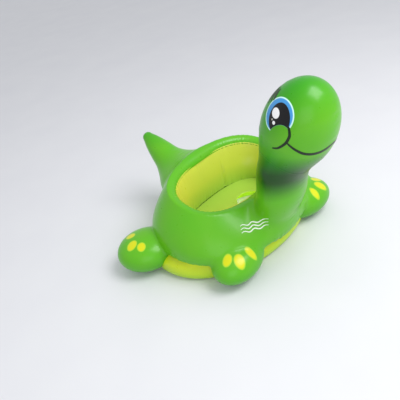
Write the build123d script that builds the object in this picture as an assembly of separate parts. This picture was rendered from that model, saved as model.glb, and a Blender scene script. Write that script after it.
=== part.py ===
"""Inflatable toddler pool float shaped like a turtle, as one assembly of welded vinyl pieces and air valves.

Millimetres. +X points to the turtle's head, +Y to its left, +Z up. The origin is on the floor, below
the middle of the float's length. Two ring chambers lie one on the other round the seat: a green
upper one with the neck, tail and feet, and a lime lower one. An inflated piece is drawn filled, as
its vinyl panel together with the air behind it. Flat sheets and valves are drawn as they are.
"""
from build123d import *
import os
from math import atan2, cos, degrees, hypot, radians, sin

# ---- driving sizes
LENGTH = 635
HEIGHT = 457
SHEET = 1.2           # flat sheets and the seat wall
SEAM_GAP = 0.3        # pieces stop this far from the seam line
LOBE_GAP = 0.5        # lobes stop this far from the ring's skin
HALF_LENGTH = LENGTH / 2

# ---- the ring, seen from above: centre x, half length, half width and squareness of each outline
HUB_X = -10
OPENING = (0, 93.5, 153, 2.4)
SHOULDER = (0, 179, 235, 2.3)
BAND = (-25.5, 188.5, 248, 2.05)
STATION_STEP = 15     # degrees between lofted sections

# ---- the ring's section
CREASE_Z = 54         # seam level between the two chambers
CREASE_DEPTH = 9
CREST_Z = 179         # crest at the middle of the float
CREST_SLOPE = 0.247   # the crest drops this much per millimetre towards the head
CREST_SHARE = 0.26    # crest position, as a share of the tube's width from the opening
EDGE_Z = 167          # seat opening's seam at the middle of the float
EDGE_SLOPE = 0.228    # the seam drops this much per millimetre towards the head
FLANK_BASE_Z = 60     # heights on the flank are shares from here to the crest
FLANK_START = 0.165   # height share where the upright side starts to lean in
FLANK_UPPER = 0.455   # height share of the curve's first handle
FLANK_INNER = 0.235   # width share of its second handle, which is level with the crest
BAND_TUCK = 20        # the band turns under this far

# ---- seat
SEAT_Z = 60
LEG_HOLE_X = 20
LEG_HOLE_Y = 52
LEG_HOLE_RADII = (44, 42)

# ---- lobes
TAIL_ROOT = Vector(-141.4, 0, 86.4)
TAIL_TIP = Vector(-301.5, 0, 213.5)
TAIL_TIP_RADIUS = HALF_LENGTH + TAIL_TIP.X
TAIL_PROFILE = (
    (0, 44), (30, 61), (58, 66), (75, 63), (118, 42.5), (145, 35.5), (170, 29), (190, 22.5),
)
TAIL_TIP_TAPER = radians(22)
HEAD_RADIUS = 79.5
HEAD_HALF_LENGTH = 110
HEAD_LEAN = 25
NECK_SECTIONS = (
    (95, 148, 38, 62), (130, 159, 46, 70), (165, 168, 51, 73),
    (210, 175, 53, 72), (255, 187, 57, 74), (300, 201, 54, 68),
)
NECK_WEB_Z = 225
WEB_RIM = 2.5         # the neck runs past the web's edge this far
FRONT_FOOT = {"x": 125, "y": 140, "radii": (82, 59, 46), "yaw": 77}
REAR_FOOT = {"x": -101, "y": 238, "radii": (78, 70, 48), "yaw": 124}

# ---- valves: flange, stem and bore radii, stem height, how far the plug goes in
LARGE_VALVE = {"flange": 20, "stem": 9, "bore": 6.5, "height": 13, "insert": 3.5}
SMALL_VALVE = {"flange": 14, "stem": 5.5, "bore": 3.5, "height": 12, "insert": 3}
STEM_TRAVEL = 7
STEM_GAP = 0.3
FLAP_BEAD = 0.6       # radius of the check flap's hinge bead
POCKET_DEPTH = 31     # free room behind a flange, for the stem and the flap


def reach(angle, outline):
    """Distance from the hub axis to an outline, along a level ray at the angle in radians."""
    centre_x, half_x, half_y, power = outline
    low, high = 0.0, float(LENGTH)
    for _ in range(40):
        middle = (low + high) / 2
        x = HUB_X + middle * cos(angle) - centre_x
        y = middle * sin(angle)
        if abs(x / half_x) ** power + abs(y / half_y) ** power < 1:
            low = middle
        else:
            high = middle
    return low


def hub_point(angle, radius, z):
    """A point of the ring from its angle, distance from the hub axis and height."""
    return Vector(HUB_X + radius * cos(angle), radius * sin(angle), z)


def station(angle):
    """The reaches and heights that set the ring's section at one angle."""
    opening = reach(angle, OPENING)
    shoulder = reach(angle, SHOULDER)
    band = reach(angle, BAND)
    crest = opening + CREST_SHARE * (shoulder - opening)
    return {
        "opening": opening,
        "shoulder": shoulder,
        "band": band,
        "crease": min(shoulder, band) - CREASE_DEPTH,
        "crest": crest,
        "crest_z": CREST_Z - CREST_SLOPE * (HUB_X + crest * cos(angle)),
        "edge_z": EDGE_Z - EDGE_SLOPE * (HUB_X + opening * cos(angle)),
    }


def flank(s, t):
    """Reach and height on the green flank, a cubic curve from the upright side at 0 to the crest at 1."""
    weights = ((1 - t) ** 3, 3 * t * (1 - t) ** 2, 3 * t ** 2 * (1 - t), t ** 3)
    width = sum(w * share for w, share in zip(weights, (1, 1, FLANK_INNER, CREST_SHARE)))
    height = sum(w * share for w, share in zip(weights, (FLANK_START, FLANK_UPPER, 1, 1)))
    r = s["opening"] + width * (s["shoulder"] - s["opening"])
    return r, FLANK_BASE_Z + height * (s["crest_z"] - FLANK_BASE_Z)


def top_line(s):
    """Outside of the upper chamber's section, from the crease over the crest to the seat opening."""
    drop = s["crest_z"] - s["edge_z"]
    roll = s["crest"] - s["opening"]
    lower = s["shoulder"] - s["crease"]
    return [
        (s["crease"], CREASE_Z + SHEET + SEAM_GAP),
        (s["crease"] + 0.62 * lower, CREASE_Z + 8),
        *(flank(s, index / 5) for index in range(6)),
        (s["crest"] - 0.5 * roll, s["edge_z"] + 0.866 * drop),
        (s["crest"] - 0.866 * roll, s["edge_z"] + 0.5 * drop),
        (wall_back(s), s["edge_z"] + SEAM_GAP),
    ]


def band_line(s):
    """Outside of the lime band's section, from the floor up to the crease."""
    return [
        (s["band"] - BAND_TUCK, SHEET + SEAM_GAP),
        (s["band"] - 5, 7),
        (s["band"], 24),
        (s["band"] - 4, 42),
        (band_top(s), CREASE_Z - SEAM_GAP),
    ]


def wall_back(s):
    """Reach of the chambers' inner side, just behind the seat wall."""
    return s["opening"] + SHEET + LOBE_GAP


def band_top(s):
    """Reach of the lime band where it meets the crease."""
    return min(s["crease"], s["band"] - CREASE_DEPTH)


def bottom_edge(s):
    """Reach of the flat underside, a little inside the band's foot."""
    return s["band"] - BAND_TUCK - 2


def grown_line(points, distance):
    """The same section line moved outward, away from the chamber."""
    moved = []
    for index, (r, z) in enumerate(points):
        before = points[max(index - 1, 0)]
        after = points[min(index + 1, len(points) - 1)]
        along_r, along_z = after[0] - before[0], after[1] - before[1]
        size = hypot(along_r, along_z)
        moved.append((r + distance * along_z / size, z - distance * along_r / size))
    return moved


def section_wire(angle, lines):
    """Closed section at one angle: smooth lines of points, joined end to end by straight ones."""
    edges = []
    curves = [[hub_point(angle, r, z) for r, z in line] for line in lines]
    for index, curve in enumerate(curves):
        following = curves[(index + 1) % len(curves)]
        edges.append(Edge.make_spline(curve) if len(curve) > 2 else Edge.make_line(*curve))
        if (curve[-1] - following[0]).length > 1e-6:
            edges.append(Edge.make_line(curve[-1], following[0]))
    return Wire(edges)


def ring_solid(lines_of_station):
    """Solid ring lofted from its sections: the left half, then its mirror image."""
    count = 180 // STATION_STEP
    wires = []
    for index in range(count + 1):
        angle = radians(STATION_STEP * index)
        wires.append(section_wire(angle, lines_of_station(station(angle))))
    half = Solid.make_loft(wires)
    return (half + half.mirror(Plane.XZ)).clean()


def upper_chamber_lines(s):
    """Section of the upper chamber."""
    top = top_line(s)
    return [top, [(wall_back(s), top[0][1]), top[0]]]


def lower_chamber_lines(s):
    """Section of the lower chamber."""
    band = band_line(s)
    return [band, [(wall_back(s), band[-1][1]), (wall_back(s), band[0][1])]]


def envelope_lines(s):
    """Outside of both chambers, grown by the gap kept to the lobes, with the seat side left over."""
    crease = (s["crease"] + 2 * LOBE_GAP, CREASE_Z)
    band = grown_line(band_line(s), LOBE_GAP)[:-1] + [crease]
    top = [crease] + grown_line(top_line(s), LOBE_GAP)[1:-1]
    return [band, top, [(top[-1][0] + 4, 0.0), band[0]]]


def ring_envelope():
    """Solid that fills both chambers and the seat well, for trimming the lobes at the ring."""
    well = extrude(Face(level_loop(lambda s: s["opening"] + 8, -1)), CREST_Z, dir=(0, 0, 1))
    return ring_solid(envelope_lines) + well


def level_loop(radius_of_station, z):
    """Closed level curve round the ring."""
    count = 360 // STATION_STEP
    angles = [radians(STATION_STEP * index) for index in range(count)]
    points = [hub_point(angle, radius_of_station(station(angle)), z) for angle in angles]
    return Wire([Edge.make_spline(points, periodic=True)])


def level_plate(outer_radius, z, inner_radius=None, height=SHEET):
    """Sheet or wall between two heights inside a level curve, with an optional inner curve."""
    holes = [] if inner_radius is None else [level_loop(inner_radius, z)]
    return extrude(Face(level_loop(outer_radius, z), holes), height, dir=(0, 0, 1))


def opening_reach(s):
    """Reach of the seat opening."""
    return s["opening"]


def wall_outside(s):
    """Reach of the seat wall's outer side."""
    return s["opening"] + SHEET


def below_opening_seam(solid):
    """The part of a solid below the sloping plane of the seat opening's seam."""
    tilt = degrees(atan2(EDGE_SLOPE, 1))
    box = Box(2 * LENGTH, 2 * LENGTH, LENGTH, align=(Align.CENTER, Align.CENTER, Align.MAX))
    return solid & (Location((0, 0, EDGE_Z - SEAM_GAP), (0, tilt, 0)) * box)


def seat_wall():
    """Lime wall round the seat, from the crease level up to the opening's seam."""
    start = CREASE_Z + SHEET + SEAM_GAP
    return below_opening_seam(level_plate(wall_outside, start, opening_reach, CREST_Z - start))


def lower_wall():
    """Wall of the lower chamber under the seat, from the floor up to the crease level."""
    start = SHEET + SEAM_GAP
    return level_plate(wall_outside, start, opening_reach, CREASE_Z - SEAM_GAP - start)


def seat_floor():
    """Sling inside the seat wall, with a hole for each leg."""
    plate = level_plate(lambda s: s["opening"] - SEAM_GAP, SEAT_Z)
    for side in (1, -1):
        hole = Plane((LEG_HOLE_X, side * LEG_HOLE_Y, SEAT_Z - 1)) * Ellipse(*LEG_HOLE_RADII)
        plate -= extrude(hole, SHEET + 2)
    return plate


def ellipsoid(centre, radii, yaw):
    """Solid ellipsoid, turned about Z."""
    ball = scale(Sphere(1), by=radii)
    return Location(centre, (0, 0, yaw)) * ball


def slab(low, high):
    """Wide box between two heights."""
    return Pos(0, 0, (low + high) / 2) * Box(3 * LENGTH, 3 * LENGTH, high - low)


def one_side(solid, side=1):
    """The part of a solid on one side of the seam on the middle plane: 1 is the turtle's left, -1 its right."""
    box = Pos(0, side * (LENGTH + SEAM_GAP / 2), 0) * Box(3 * LENGTH, 2 * LENGTH, 4 * LENGTH)
    return solid & box


def foot_halves(foot, envelope):
    """Upper and lower halves of a left foot, open where it joins the ring."""
    seam_z = foot["radii"][2]
    lobe = ellipsoid((foot["x"], foot["y"], seam_z), foot["radii"], foot["yaw"]) - envelope
    upper = lobe & slab(seam_z + SEAM_GAP / 2, seam_z * 3)
    lower = lobe & slab(-1, seam_z - SEAM_GAP / 2)
    return upper, lower


def head_centre():
    """Centre of the head, set so that it reaches the float's full length and height."""
    lean = radians(HEAD_LEAN)
    ahead = hypot(HEAD_RADIUS * cos(lean), HEAD_HALF_LENGTH * sin(lean))
    rise = hypot(HEAD_RADIUS * sin(lean), HEAD_HALF_LENGTH * cos(lean))
    return (HALF_LENGTH - ahead, 0, HEIGHT - rise)


def head_egg(grown=0.0):
    """The head: an egg, round about its own leaning axis."""
    half, radius = HEAD_HALF_LENGTH + grown, HEAD_RADIUS + grown
    profile = Ellipse(radius, half) & Pos(LENGTH / 2, 0) * Rectangle(LENGTH, LENGTH)
    return Location(head_centre(), (0, HEAD_LEAN, 0)) * revolve(Rot(90, 0, 0) * profile, Axis.Z)


def neck_column(inset=0.0):
    """The neck, from inside the ring to inside the head."""
    sections = []
    for z, x, half_x, half_y in NECK_SECTIONS:
        sections.append(Plane((x, 0, z)) * Ellipse(half_x - inset, half_y - inset))
    return loft(sections)


def tip_point(turn):
    """Point on the tail's round tip, in the plane of its profile."""
    along = (TAIL_TIP - TAIL_ROOT).length
    return (TAIL_TIP_RADIUS * cos(turn), 0, along + TAIL_TIP_RADIUS * sin(turn))


def tail_cone():
    """The tail: one round taper about its own straight axis, from inside the ring to its tip."""
    frame = Plane(origin=TAIL_ROOT, x_dir=(0, 1, 0), z_dir=(TAIL_TIP - TAIL_ROOT).normalized())
    points = [(radius, 0, along) for along, radius in TAIL_PROFILE]
    tip = [tip_point(turn) for turn in (TAIL_TIP_TAPER, radians(56), radians(90))]
    leaning_in = (-sin(TAIL_TIP_TAPER), 0, cos(TAIL_TIP_TAPER))
    side = Spline(*points, tip[0], tangents=[(0.6, 0, 1), leaning_in])
    profile = make_face([side, ThreePointArc(*tip), Line(tip[2], (0, 0, 0)), Line((0, 0, 0), points[0])])
    return frame.location * revolve(profile, Axis.Z)


def surface_plane(point_at, a, b, inward):
    """Plane on a surface given by two parameters, its Z outward and its X as level as can be."""
    step = 1e-3
    here = point_at(a, b)
    along_a = point_at(a + step, b) - here
    along_b = point_at(a, b + step) - here
    normal = along_a.cross(along_b).normalized()
    if normal.dot(here - inward) < 0:
        normal = -normal
    level = Vector(0, 0, 1).cross(normal).normalized()
    return Plane(origin=here, x_dir=level, z_dir=normal)


def flank_point(angle, t):
    """Point on the green flank."""
    return hub_point(angle, *flank(station(angle), t))


def band_point(angle, z):
    """Point on the lime band near its widest level."""
    return hub_point(angle, reach(angle, BAND) - ((z - 24) / 24) ** 2 * 5, z)


def head_point(azimuth, height):
    """Point on the head's surface from an angle about its own axis and a share of its half height."""
    lean = radians(HEAD_LEAN)
    ring = (1 - height ** 2) ** 0.5
    x = HEAD_RADIUS * ring * cos(azimuth)
    y = HEAD_RADIUS * ring * sin(azimuth)
    z = HEAD_HALF_LENGTH * height
    cx, cy, cz = head_centre()
    return Vector(cx + x * cos(lean) + z * sin(lean), cy + y, cz - x * sin(lean) + z * cos(lean))


def valve_planes():
    """Where each valve sits: its size and the plane of its flange."""
    hub = Vector(HUB_X, 0, CREASE_Z)
    return {
        "main": (LARGE_VALVE, surface_plane(flank_point, radians(104), 0.4, hub)),
        "lower": (SMALL_VALVE, surface_plane(band_point, radians(84), 26, hub)),
        "head": (SMALL_VALVE, surface_plane(head_point, radians(142), -0.1, Vector(*head_centre()))),
    }


def hinge_offset(size):
    """Distance from the valve's axis to the plug's strap hinge."""
    return size["stem"] + 4.5


def hinge_height(size):
    """Height of the plug's strap hinge above the flange."""
    return size["height"] + 0.8


def flap_offset(size):
    """Distance from the valve's axis to the check flap's hinge."""
    return size["bore"] + 1.6


def flap_depth():
    """Depth of the check flap's hinge below the flange."""
    return 8 + STEM_GAP + FLAP_BEAD


def tube(outer, inner, low, high):
    """Round tube about Z between two heights."""
    centre = Pos(0, 0, (low + high) / 2)
    return centre * Cylinder(outer, high - low) - centre * Cylinder(inner, high - low + 2)


def flange_part(size):
    """Disc that is welded into the skin, with a low collar that guides the stem."""
    hole = size["stem"] + STEM_GAP
    return tube(size["flange"], hole, -0.6, 0.6) + tube(hole + 1.6, hole, 0.5, 1.6)


def stem_part(size):
    """Tube that pushes in through the flange, with a stop lip inside and the strap's anchor ring."""
    top = size["height"]
    part = tube(size["stem"], size["bore"], -8, top)
    part += tube(size["stem"] + 2.2, size["bore"], -8, -6.8)
    part += tube(size["stem"] + 1.5, size["bore"], top - 3, top - 1)
    ear_length = hinge_offset(size) + 1.2 - size["stem"]
    ear_middle = -(size["stem"] - 0.5) - (ear_length + 0.5) / 2
    part += Pos(ear_middle, 0, top - 2) * Box(ear_length + 0.5, 3.4, 2)
    return part


def flap_part(size):
    """Check flap that closes the stem's inner end."""
    disc = Pos(0, 0, -flap_depth()) * Cylinder(size["bore"] + 0.9, 0.8)
    tab_length = flap_offset(size) - size["bore"]
    tab = Pos(-size["bore"] - tab_length / 2, 0, -flap_depth()) * Box(tab_length, 3, 0.8)
    bead = Pos(-flap_offset(size), 0, -flap_depth()) * Rot(90, 0, 0) * Cylinder(FLAP_BEAD, 3)
    return disc + tab + bead


def plug_part(size):
    """Plug with its tapered insert, strap, hinge bead and pull tab."""
    low = size["height"] + STEM_GAP
    cap_radius = size["stem"] + 1.2
    part = Pos(0, 0, low + 0.75) * Cylinder(cap_radius, 1.5)
    depth = size["insert"] + STEM_GAP
    insert = Cone(size["bore"] - 1.4, size["bore"] - 0.35, depth)
    part += Pos(0, 0, low - depth / 2) * insert
    strap_length = hinge_offset(size) - cap_radius + 1
    part += Pos(-hinge_offset(size) + strap_length / 2, 0, low + 0.5) * Box(strap_length, 3, 1)
    part += Pos(-hinge_offset(size), 0, hinge_height(size)) * Rot(90, 0, 0) * Cylinder(0.9, 3)
    tab = Pos(cap_radius + 2.5, 0, low + 0.6) * Box(7, 5, 1.2)
    return part + tab


def valve_pockets():
    """Free room round and behind each valve's flange."""
    pockets = {}
    for name, (size, plane) in valve_planes().items():
        height = POCKET_DEPTH + 10
        pocket = Pos(0, 0, 10 - height / 2) * Cylinder(size["flange"] + SEAM_GAP, height)
        pockets[name] = plane.location * pocket
    return pockets


def valve_nodes():
    """The four pieces of each of the three valves, in place."""
    makers = {"flange": flange_part, "stem": stem_part, "flap": flap_part, "plug": plug_part}
    nodes = {}
    for valve, (size, plane) in valve_planes().items():
        for piece, maker in makers.items():
            nodes[f"{valve}_valve_{piece}"] = plane.location * maker(size)
    return nodes


def ring_nodes(pockets):
    """Both ring chambers, the walls and sheets that close them, and the seat floor."""
    return {
        "upper_chamber": ring_solid(upper_chamber_lines) - pockets["main"],
        "lower_chamber": ring_solid(lower_chamber_lines) - pockets["lower"],
        "seat_wall": seat_wall(),
        "lower_wall": lower_wall(),
        "chamber_web": level_plate(band_top, CREASE_Z, opening_reach),
        "bottom_panel": level_plate(bottom_edge, 0.0, opening_reach),
        "seat_floor": seat_floor(),
    }


def middle_lobes(envelope):
    """Head, neck and tail, each still whole across the middle plane, by name."""
    slot = neck_column(WEB_RIM) & slab(NECK_WEB_Z - SEAM_GAP, NECK_WEB_Z + SHEET + SEAM_GAP)
    return {
        "head": head_egg(),
        "neck": neck_column() - head_egg(LOBE_GAP) - envelope - slot,
        "tail": tail_cone() - envelope,
    }


def foot_nodes(envelope):
    """Upper and lower halves of the four feet."""
    nodes = {}
    for end, foot in (("front", FRONT_FOOT), ("rear", REAR_FOOT)):
        for half, solid in zip(("upper", "lower"), foot_halves(foot, envelope)):
            nodes[f"{end}_left_foot_{half}"] = solid
            nodes[f"{end}_right_foot_{half}"] = solid.mirror(Plane.XZ)
    return nodes


def lobe_nodes(pockets):
    """Head, neck, tail and feet on both sides, and the web that closes the head's chamber."""
    envelope = ring_envelope()
    nodes = foot_nodes(envelope)
    nodes["neck_web"] = neck_column(WEB_RIM + SEAM_GAP) & slab(NECK_WEB_Z, NECK_WEB_Z + SHEET)
    for name, lobe in middle_lobes(envelope).items():
        nodes[f"{name}_left_half"] = one_side(lobe)
        nodes[f"{name}_right_half"] = one_side(lobe, -1)
    nodes["head_left_half"] -= pockets["head"]
    return nodes


def main():
    """Build every node and write each one to its own STEP file."""
    os.makedirs("parts", exist_ok=True)
    pockets = valve_pockets()
    nodes = {**ring_nodes(pockets), **lobe_nodes(pockets), **valve_nodes()}
    for name, solid in nodes.items():
        export_step(solid, f"parts/{name}.step")


if __name__ == "__main__":
    main()
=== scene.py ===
"""Looks of the inflatable turtle pool float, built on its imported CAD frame.

Shapes are worked out in millimetres, in the frame's axes: +X to the turtle's head, +Y to its left, +Z up.
The green skin is one smooth surface, found as the level set of blended lobes, then cut along its welds.
"""
import math

import bpy
import numpy as np
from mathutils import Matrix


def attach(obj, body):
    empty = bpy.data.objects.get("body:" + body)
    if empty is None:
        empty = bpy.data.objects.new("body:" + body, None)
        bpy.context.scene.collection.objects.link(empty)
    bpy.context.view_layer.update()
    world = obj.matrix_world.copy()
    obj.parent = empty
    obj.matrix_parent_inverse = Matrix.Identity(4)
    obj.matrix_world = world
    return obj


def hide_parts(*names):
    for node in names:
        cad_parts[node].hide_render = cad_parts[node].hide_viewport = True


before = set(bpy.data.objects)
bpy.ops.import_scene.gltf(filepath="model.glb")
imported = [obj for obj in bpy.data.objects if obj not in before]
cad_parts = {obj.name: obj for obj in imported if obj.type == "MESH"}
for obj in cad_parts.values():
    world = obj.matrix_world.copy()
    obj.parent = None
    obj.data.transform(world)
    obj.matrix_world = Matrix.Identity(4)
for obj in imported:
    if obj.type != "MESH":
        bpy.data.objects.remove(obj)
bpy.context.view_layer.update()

import openvdb
from mathutils import Matrix, Vector

MM = 0.001

# ---- the ring, as in the CAD: centre x, half length, half width and squareness of each outline
HUB_X = -10
OPENING = (0, 93.5, 153, 2.4)
SHOULDER = (0, 179, 235, 2.3)
BAND = (-25.5, 188.5, 248, 2.05)
CREASE_Z = 54
CREASE_DEPTH = 9
CREST_Z = 179
CREST_SLOPE = 0.247
CREST_SHARE = 0.26
EDGE_Z = 167
EDGE_SLOPE = 0.228
FLANK_BASE_Z = 60
FLANK = ((1, 0.165), (1, 0.455), (0.235, 1), (CREST_SHARE, 1))   # handles, as shares of width and height
BAND_TUCK = 20
SEAT_Z = 60
SEAT_SWELL = 7                   # how far the seat wall bulges towards the child
FOLD_ANGLE = math.radians(140)   # where the seat wall has one soft upright fold
FOLD_WIDTH = 0.05                # radians
FOLD_DEPTH = 3.5
RUN_RADIUS = 200                 # turns an angle round the ring into millimetres, for the creases
SEAT_RUN_RADIUS = 130            # the same on the seat wall

# ---- lobes
TAIL_ROOT = np.array((-141.4, 0.0, 86.4))
TAIL_TIP = np.array((-301.5, 0.0, 213.5))
TAIL_TIP_RADIUS = 16.0
TAIL_PROFILE = (
    (0, 44), (30, 61), (58, 66), (75, 63), (118, 42.5), (145, 35.5), (170, 29), (190, 22.5), (205, 16.2),
)
HEAD_RADII = np.array((79.5, 79.5, 110.0))
HEAD_CENTRE = np.array((231.75, 0.0, 351.8))
HEAD_LEAN = math.radians(25)
HEAD_TOP_Z = 400   # only the head is above this
NECK_SECTIONS = (
    (60, 136, 30, 52), (95, 148, 38, 62), (130, 159, 46, 70), (165, 168, 51, 73),
    (210, 175, 53, 72), (255, 187, 57, 74), (300, 201, 54, 68), (340, 214, 46, 56),
)
FEET = {
    "front": {"centre": (125, 140, 46), "radii": (82, 59, 46), "yaw": math.radians(77)},
    "rear": {"centre": (-101, 238, 48), "radii": (78, 70, 48), "yaw": math.radians(124)},
}
LEG_HOLE = {"x": 20, "y": 52, "radii": (44, 42)}

FARTHEST_REACH = 635.0   # an outline is looked for between the hub axis and here
HALVINGS = 34            # of that distance, until the outline is found
VOXEL = 2.5
GRID_LOW = (-325.0, 0.0, -7.5)
GRID_SIZE = (650, 325, 475)
BLEND = {"neck": 34, "head": 26, "tail": 70, "front": 9, "rear": 7}   # fillet sizes where lobes meet


def wave(position, length, seed):
    """Uneven wave of size about 1, whose crests are roughly the given length apart."""
    rng = np.random.default_rng(seed)
    total = np.zeros_like(position)
    for _ in range(5):
        total += np.sin(2 * np.pi * position / (length * rng.uniform(0.6, 1.7)) + rng.uniform(0, 6.28))
    return total / 2.2


def smooth_step(value, low, high):
    """0 below low and 1 above high, with a soft change between."""
    share = np.clip((value - low) / (high - low), 0, 1)
    return share * share * (3 - 2 * share)


def smooth_curve(points, count):
    """Points along a Catmull-Rom curve through the given ones."""
    knots = np.asarray(points, float)
    knots = np.vstack([2 * knots[0] - knots[1], knots, 2 * knots[-1] - knots[-2]])
    along = np.linspace(0, len(knots) - 3, count)
    start = np.minimum(along.astype(int), len(knots) - 4)
    t = (along - start)[:, None]
    a, b, c, d = (knots[start + k] for k in range(4))
    square = (2 * a - 5 * b + 4 * c - d) * t**2
    cube = (3 * b - a - 3 * c + d) * t**3
    return 0.5 * (2 * b + (c - a) * t + square + cube)


# ---------------------------------------------------------------- the ring's outlines
def reach(angle, outline):
    """Distance from the hub axis to an outline, along a level ray."""
    centre_x, half_x, half_y, power = outline
    low, high = np.zeros_like(angle), np.full_like(angle, FARTHEST_REACH)
    for _ in range(HALVINGS):
        middle = (low + high) / 2
        x = HUB_X + middle * np.cos(angle) - centre_x
        y = middle * np.sin(angle)
        inside = abs(x / half_x) ** power + abs(y / half_y) ** power < 1
        low, high = np.where(inside, middle, low), np.where(inside, high, middle)
    return low


def edge_height(angle, opening):
    """Height of the seat opening's seam."""
    return EDGE_Z - EDGE_SLOPE * (HUB_X + opening * np.cos(angle))


def ring_points(angle, radius, z):
    """Points of the ring from angle, distance from the hub axis and height."""
    radius, z, angle = np.broadcast_arrays(radius, z, angle)
    return np.stack([HUB_X + radius * np.cos(angle), radius * np.sin(angle), z], axis=-1)


# ---------------------------------------------------------------- distances to each lobe, negative inside
def slope_corrected(field):
    """The field divided by its own slope, which makes it a distance near its zero level."""
    gradients = np.gradient(field, VOXEL)
    slope = np.sqrt(sum(g * g for g in gradients))
    return field / np.maximum(slope, 1e-4)


def smooth_max(a, b, size):
    """Larger of two distances, rounded off over the given size."""
    h = np.maximum(size - abs(a - b), 0) / size
    return np.maximum(a, b) + h * h * size / 4


def smooth_min(a, b, size):
    """Smaller of two distances, filled in over the given size."""
    return -smooth_max(-a, -b, size)


def flank_size(across, height):
    """1 on the green flank, less inside, from shares of its width outside the crest and of its height."""
    t = np.linspace(0, 1, 60)[:, None]
    weights = np.hstack([(1 - t) ** 3, 3 * t * (1 - t) ** 2, 3 * t**2 * (1 - t), t**3])
    curve = weights @ np.array(FLANK)
    curve_across = (curve[:, 0] - CREST_SHARE) / (1 - CREST_SHARE)
    turn = np.arctan2(curve[:, 1], curve_across)
    far = np.hypot(curve_across, curve[:, 1])
    angle = np.arctan2(height, across)
    upright = np.cos(np.clip(angle, -1.4, turn[0]))
    edge = np.where(angle < turn[0], 1 / upright, np.interp(angle, turn, far))
    return np.hypot(across, height) / edge


def ring_distance(x, y, z):
    """Distance to the upper ring chamber."""
    angle = np.arctan2(y, x - HUB_X)
    radius = np.hypot(x - HUB_X, y)
    opening, shoulder = reach(angle, OPENING), reach(angle, SHOULDER)
    crest = opening + CREST_SHARE * (shoulder - opening)
    crest_z = CREST_Z - CREST_SLOPE * (HUB_X + crest * np.cos(angle))
    edge_z = edge_height(angle, opening)
    outer_height = (z - FLANK_BASE_Z) / (crest_z - FLANK_BASE_Z)
    outer = flank_size((radius - crest) / (shoulder - crest), outer_height)
    inner_height = np.maximum(z - edge_z, 0) / (crest_z - edge_z)
    inner = np.hypot((crest - radius) / (crest - opening), inner_height)
    skin = np.where(radius > crest, slope_corrected(outer - 1), slope_corrected(inner - 1))
    return smooth_max(skin, CREASE_Z - 1 - z, 16)


def ellipsoid_distance(x, y, z, centre, radii, turned):
    """Distance to an ellipsoid whose axes are the rows of a rotation matrix."""
    offset = (x - centre[0], y - centre[1], z - centre[2])
    shares = [sum(a * o for a, o in zip(axis, offset)) / radius for axis, radius in zip(turned, radii)]
    size = np.sqrt(sum(s * s for s in shares))
    return slope_corrected(size - 1)


def about_y(angle):
    """Axes that lean forward by an angle."""
    cosine, sine = math.cos(angle), math.sin(angle)
    return np.array([[cosine, 0, -sine], [0, 1, 0], [sine, 0, cosine]])


def about_z(angle):
    """Axes turned to the left by an angle."""
    cosine, sine = math.cos(angle), math.sin(angle)
    return np.array([[cosine, sine, 0], [-sine, cosine, 0], [0, 0, 1]])


HEAD_AXES = about_y(HEAD_LEAN)


def tail_distance(x, y, z):
    """Distance to the tail, a round taper about its own axis."""
    axis = (TAIL_TIP - TAIL_ROOT) / np.linalg.norm(TAIL_TIP - TAIL_ROOT)
    tip_reach = np.linalg.norm(TAIL_TIP - TAIL_ROOT) + TAIL_TIP_RADIUS
    along = (x - TAIL_ROOT[0]) * axis[0] + (z - TAIL_ROOT[2]) * axis[2]
    across = np.hypot(x - TAIL_ROOT[0] - along * axis[0], z - TAIL_ROOT[2] - along * axis[2])
    profile = smooth_curve(TAIL_PROFILE, 120)
    cone = np.hypot(across, y) - np.interp(along, profile[:, 0], profile[:, 1])
    tip = np.sqrt((x - TAIL_TIP[0]) ** 2 + y**2 + (z - TAIL_TIP[2]) ** 2) - TAIL_TIP_RADIUS
    body = np.maximum(slope_corrected(cone), along - tip_reach + TAIL_TIP_RADIUS)
    return np.minimum(body, tip)


def neck_distance(x, y, z):
    """Distance to the neck column."""
    profile = smooth_curve(NECK_SECTIONS, 200)
    centre, half_x, half_y = (np.interp(z, profile[:, 0], profile[:, k]) for k in (1, 2, 3))
    round_wall = np.hypot((x - centre) / half_x, y / half_y) - 1
    ends = np.maximum(z - NECK_SECTIONS[-1][0], NECK_SECTIONS[0][0] - z)
    return np.maximum(slope_corrected(round_wall), ends)


def lobe_fields(x, y, z):
    """Distance to each green lobe on the turtle's left half of space."""
    fields = {"ring": ring_distance(x, y, z), "neck": neck_distance(x, y, z)}
    fields["head"] = ellipsoid_distance(x, y, z, HEAD_CENTRE, HEAD_RADII, HEAD_AXES)
    fields["tail"] = tail_distance(x, y, z)
    for end, foot in FEET.items():
        fields[end] = ellipsoid_distance(x, y, z, foot["centre"], foot["radii"], about_z(foot["yaw"]))
    return fields


def green_level_set():
    """Lobe distances on a grid over the left half, their blend, and the grid's lowest corner."""
    low = np.array(GRID_LOW)
    counts = (np.array(GRID_SIZE) // VOXEL).astype(int)
    x, y, z = (low[k] + VOXEL * np.arange(counts[k]) for k in range(3))
    fields = lobe_fields(x[:, None, None], y[None, :, None], z[None, None, :])
    for name, field in fields.items():
        fields[name] = np.broadcast_to(field, counts).astype(np.float32)
    blend = fields["ring"]
    for name in ("neck", "head", "tail", "front", "rear"):
        blend = smooth_min(blend, fields[name], BLEND[name])
    return fields, blend, low


def mirrored(half):
    """A field of the left half continued to the right half."""
    return np.concatenate([half[:, :0:-1], half], axis=1)


def surface_of(blend, low):
    """Points and triangles of the zero level of a field on the left half, with its mirror image."""
    grid = openvdb.FloatGrid()
    grid.background = 3 * VOXEL
    whole = np.clip(mirrored(blend), -3 * VOXEL, 3 * VOXEL)
    grid.copyFromArray(whole.astype(np.float32))
    points, _, quads = grid.convertToPolygons()
    shift = (blend.shape[1] - 1) * VOXEL
    points = np.asarray(points, float) * VOXEL + (low[0], low[1] - shift, low[2])
    return points, split_quads(np.asarray(quads, int))


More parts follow.
